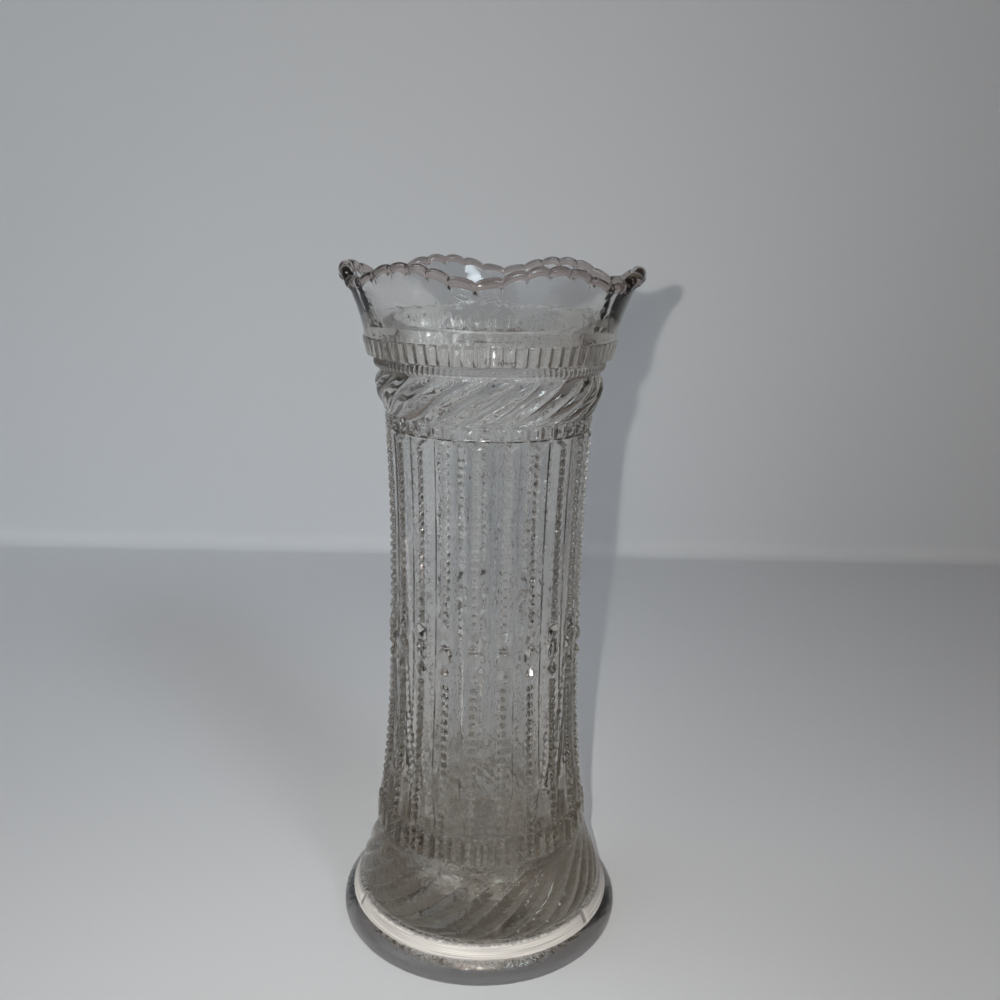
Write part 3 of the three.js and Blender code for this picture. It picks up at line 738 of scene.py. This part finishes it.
def ring_marks(material, fine, plain, bare):
    """Colours a matt face by the rings that the tool left: thin streaks that run round it, and bare glass at
    its ragged upper edge and in the notches of the seams, which lie deeper than the shoulder's slope."""
    add, link = material.node_tree.nodes.new, material.node_tree.links.new
    surface = material.node_tree.nodes["Principled BSDF"]
    place = add("ShaderNodeTexCoord")
    parts = add("ShaderNodeSeparateXYZ")
    link(place.outputs["Object"], parts.inputs["Vector"])
    turn = add("ShaderNodeMath")
    turn.operation = "ARCTAN2"
    link(parts.outputs["Y"], turn.inputs[0])
    link(parts.outputs["X"], turn.inputs[1])
    height = add("ShaderNodeMath")
    height.operation = "MULTIPLY"
    height.inputs[1].default_value = ring_squeeze
    link(parts.outputs["Z"], height.inputs[0])
    unrolled = add("ShaderNodeCombineXYZ")
    link(turn.outputs["Value"], unrolled.inputs["X"])
    link(height.outputs["Value"], unrolled.inputs["Y"])
    streaks = add("ShaderNodeTexNoise")
    streaks.inputs["Scale"].default_value = 1.6
    streaks.inputs["Detail"].default_value = 4
    link(unrolled.outputs["Vector"], streaks.inputs["Vector"])
    spread = add("ShaderNodeMapRange")
    spread.inputs["From Min"].default_value = 0.36
    spread.inputs["From Max"].default_value = 0.62
    link(streaks.outputs["Fac"], spread.inputs["Value"])
    ringed = add("ShaderNodeMix")
    ringed.data_type = "RGBA"
    ringed.inputs[6].default_value = fine
    ringed.inputs[7].default_value = plain
    link(spread.outputs["Result"], ringed.inputs[0])
    grit = add("ShaderNodeTexNoise")
    grit.inputs["Scale"].default_value = 900
    grit.inputs["Detail"].default_value = 3
    link(place.outputs["Object"], grit.inputs["Vector"])
    ragged = add("ShaderNodeMath")
    ragged.operation = "MULTIPLY_ADD"
    ragged.inputs[1].default_value = ragged_height
    link(grit.outputs["Fac"], ragged.inputs[0])
    link(parts.outputs["Z"], ragged.inputs[2])
    upper_edge = add("ShaderNodeMapRange")
    upper_edge.inputs["From Min"].default_value = bare_from
    upper_edge.inputs["From Max"].default_value = bare_to
    link(ragged.outputs["Value"], upper_edge.inputs["Value"])
    finished = add("ShaderNodeMix")
    finished.data_type = "RGBA"
    finished.inputs[7].default_value = bare
    link(upper_edge.outputs["Result"], finished.inputs[0])
    link(ringed.outputs[2], finished.inputs[6])
    flat = add("ShaderNodeCombineXYZ")
    link(parts.outputs["X"], flat.inputs["X"])
    link(parts.outputs["Y"], flat.inputs["Y"])
    from_axis = add("ShaderNodeVectorMath")
    from_axis.operation = "LENGTH"
    link(flat.outputs["Vector"], from_axis.inputs[0])
    leaned = add("ShaderNodeMath")
    leaned.operation = "MULTIPLY_ADD"
    leaned.inputs[1].default_value = shoulder_slope
    link(parts.outputs["Z"], leaned.inputs[0])
    link(from_axis.outputs["Value"], leaned.inputs[2])
    sunken = add("ShaderNodeMapRange")
    sunken.inputs["From Min"].default_value = sunken_from
    sunken.inputs["From Max"].default_value = sunken_to
    link(leaned.outputs["Value"], sunken.inputs["Value"])
    notched = add("ShaderNodeMix")
    notched.data_type = "RGBA"
    notched.inputs[7].default_value = bare
    link(sunken.outputs["Result"], notched.inputs[0])
    link(finished.outputs[2], notched.inputs[6])
    link(notched.outputs[2], surface.inputs["Base Color"])
    grooves = add("ShaderNodeBump")
    grooves.inputs["Strength"].default_value = 0.5
    grooves.inputs["Distance"].default_value = 0.0002
    link(streaks.outputs["Fac"], grooves.inputs["Height"])
    link(grooves.outputs["Normal"], surface.inputs["Normal"])


ring_marks(matt_shoulder, ring_groove_colour, ring_face_colour, bare_glass_colour)
add, link = clear_metal.node_tree.nodes.new, clear_metal.node_tree.links.new
# Painted reflection on the rim: the clear glass's base colour is mixed toward the dark warm tint on the roll,
# in place of the room seen in its edge.
in_edge = add("ShaderNodeAttribute")
in_edge.attribute_name = "painted_reflection_mask"
painted_reflection_mix = add("ShaderNodeMix")
painted_reflection_mix.data_type = "RGBA"
painted_reflection_mix.inputs[6].default_value = (1, 1, 1, 1)
painted_reflection_mix.inputs[7].default_value = painted_edge_reflection_colour
link(in_edge.outputs["Fac"], painted_reflection_mix.inputs[0])
link(painted_reflection_mix.outputs[2], clear_metal.node_tree.nodes["Principled BSDF"].inputs["Base Color"])
vase_mesh.materials.append(clear_metal)
vase_mesh.materials.append(matt_shoulder)

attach(vase_glass, "root")
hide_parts("foot", "lower_rope_band", "lower_block_band", "lower_panels", "waist_jewel_band",
            "upper_panels", "upper_block_band", "upper_rope_band", "toothed_collar", "flared_rim")

# Floor and backdrop. One sheet of pale grey paper lies under the vase and turns up behind it in a tight bend,
# on a wide table top of the same grey.
turned = math.radians(6)
sheet_near_edge = -3.0
sheet_front = -0.4
backdrop_distance = 0.378
bend_radius = 0.012
backdrop_height = 0.5
backdrop_half_width = 0.75
bend_steps = 8
table_half_width = 3
table_sink = 0.0002
paper_grey = (0.58, 0.60, 0.62, 1)
paper_cloud = (0.54, 0.565, 0.585, 1)


def turned_point(x, y, z):
    """A point given beside the camera's line of sight, turned with the camera about the vase."""
    return (x * math.cos(turned) - y * math.sin(turned), x * math.sin(turned) + y * math.cos(turned), z)


bend_start = backdrop_distance - bend_radius
section = [(sheet_near_edge, 0.0), (sheet_front, 0.0), (bend_start, 0.0)]
for step in range(1, bend_steps + 1):
    angle = math.radians(90 * step / bend_steps)
    section.append((bend_start + bend_radius * math.sin(angle), bend_radius * (1 - math.cos(angle))))
section.append((backdrop_distance, backdrop_height))
sheet_edges = (-backdrop_half_width, backdrop_half_width)
sheet_points = [turned_point(x, y, z) for y, z in section for x in sheet_edges]
sheet_faces = [(2 * i, 2 * i + 1, 2 * i + 3, 2 * i + 2) for i in range(len(section) - 1)]
sheet_mesh = bpy.data.meshes.new("paper_sheet")
sheet_mesh.from_pydata(sheet_points, [], sheet_faces)
sheet_mesh.polygons.foreach_set("use_smooth", np.ones(len(section) - 1, bool))
paper_sheet = bpy.data.objects.new("paper_sheet", sheet_mesh)
bpy.context.scene.collection.objects.link(paper_sheet)
table_points = [turned_point(x * table_half_width, y * table_half_width, -table_sink)
                for x, y in ((-1, -1), (1, -1), (1, 1), (-1, 1))]
table_mesh = bpy.data.meshes.new("table_top")
table_mesh.from_pydata(table_points, [], [(0, 1, 2, 3)])
table_top = bpy.data.objects.new("table_top", table_mesh)
bpy.context.scene.collection.objects.link(table_top)
paper = bpy.data.materials.new("pale_paper")
paper.use_nodes = True
add, link = paper.node_tree.nodes.new, paper.node_tree.links.new
paper_surface = paper.node_tree.nodes["Principled BSDF"]
paper_surface.inputs["Roughness"].default_value = 0.85
clouds = add("ShaderNodeTexNoise")
clouds.inputs["Scale"].default_value = 3
clouds.inputs["Detail"].default_value = 3
tone = add("ShaderNodeMix")
tone.data_type = "RGBA"
tone.inputs[6].default_value = paper_grey
tone.inputs[7].default_value = paper_cloud
spot = add("ShaderNodeTexCoord")
link(spot.outputs["Object"], clouds.inputs["Vector"])
link(clouds.outputs["Fac"], tone.inputs[0])
link(tone.outputs[2], paper_surface.inputs["Base Color"])
sheet_mesh.materials.append(paper)
table_mesh.materials.append(paper)

# Lights. A small bare lamp beside the lens draws the glints and the soft shadow on the right. A large soft
# lamp on the left and a smaller one overhead light the paper and the glass, and a narrow lamp on the right
# shows as the window inside the back of the rim.
flash_colour = (1.0, 0.955, 0.905)
daylight_colour = (0.86, 0.94, 1.0)
window_colour = (0.82, 0.93, 1.0)
window_spread = math.radians(26)


def area_lamp(name, place, target, width, height, power, colour):
    """An oval lamp at one place that points at another, both given beside the camera's line of sight."""
    lamp = bpy.data.lights.new(name, "AREA")
    lamp.shape = "ELLIPSE"
    lamp.size = width
    lamp.size_y = height
    lamp.energy = power
    lamp.color = colour
    holder = bpy.data.objects.new(name, lamp)
    bpy.context.scene.collection.objects.link(holder)
    place, target = (Vector(turned_point(*spot)) for spot in (place, target))
    holder.location = place
    holder.rotation_mode = "QUATERNION"
    holder.rotation_quaternion = (target - place).to_track_quat("-Z", "Y")
    return holder


area_lamp("bare_lamp", place=(-0.0175, -0.279, 0.211), target=(0, 0.378, 0.26), width=0.004, height=0.004,
          power=1.1, colour=flash_colour)
area_lamp("left_lamp", place=(-1.0, -0.7, 0.42), target=(0, 0.378, 0.25), width=1.2, height=1.2,
          power=4.9, colour=daylight_colour)
area_lamp("overhead_lamp", place=(-0.55, 0.12, 1.15), target=(-0.2, 0.32, 0), width=0.4, height=0.4,
          power=1.6, colour=daylight_colour)
window_lamp = area_lamp("window_lamp", place=(0.64, -0.86, 0.86), target=(0, 0, 0.19), width=0.6,
                        height=0.34, power=0.17, colour=window_colour)
window_lamp.data.spread = window_spread

# Room. Nothing of it shows but its light, a dim warm grey that is a little darker above than at the level of
# the table, and that the glass picks up in its edges.
room_below = (0.165, 0.15, 0.14, 1)
room_above = (0.155, 0.126, 0.114, 1)

world = bpy.data.worlds.new("room")
bpy.context.scene.world = world
world.use_nodes = True
add, link = world.node_tree.nodes.new, world.node_tree.links.new
sky = world.node_tree.nodes["Background"]
direction = add("ShaderNodeTexCoord")
split = add("ShaderNodeSeparateXYZ")
link(direction.outputs["Generated"], split.inputs["Vector"])
height = add("ShaderNodeMapRange")
height.inputs["From Min"].default_value = 0.05
height.inputs["From Max"].default_value = 0.45
link(split.outputs["Z"], height.inputs["Value"])
room_tone = add("ShaderNodeMix")
room_tone.data_type = "RGBA"
room_tone.inputs[6].default_value = room_below
room_tone.inputs[7].default_value = room_above
link(height.outputs["Result"], room_tone.inputs[0])
link(room_tone.outputs[2], sky.inputs["Color"])
sky.inputs["Strength"].default_value = 1.0

# Camera. It stands 28 cm from the vase at the height of the rim, tipped down a little, and is turned about
# the vase together with the sheet of paper.
lens_distance = 0.2794
lens_height = 0.2028
lens_length = 35.14
film_width = 36
tipped_down = 14.10
turned_aside = 0.774
rolled_over = 1.308

lens_place = turned_point(0, -lens_distance, lens_height)
pitch, yaw, roll_angle = (math.radians(angle) for angle in (tipped_down, turned_aside, rolled_over))
forward = Vector((math.sin(yaw) * math.cos(pitch), math.cos(yaw) * math.cos(pitch), -math.sin(pitch)))
right = Vector((math.cos(yaw), -math.sin(yaw), 0))
up = right.cross(forward)
rolled_right = math.cos(roll_angle) * right + math.sin(roll_angle) * up
rolled_up = -math.sin(roll_angle) * right + math.cos(roll_angle) * up
axes = [Vector(turned_point(*axis)) for axis in (rolled_right, rolled_up, -forward)]
camera = bpy.data.cameras.new("camera")
camera.lens = lens_length
camera.sensor_width = film_width
camera_holder = bpy.data.objects.new("camera", camera)
bpy.context.scene.collection.objects.link(camera_holder)
camera_holder.matrix_world = Matrix((
    (axes[0].x, axes[1].x, axes[2].x, lens_place[0]),
    (axes[0].y, axes[1].y, axes[2].y, lens_place[1]),
    (axes[0].z, axes[1].z, axes[2].z, lens_place[2]),
    (0, 0, 0, 1),
))
camera.clip_start = 0.01
bpy.context.scene.camera = camera_holder
bpy.context.scene.view_settings.view_transform = "Standard"
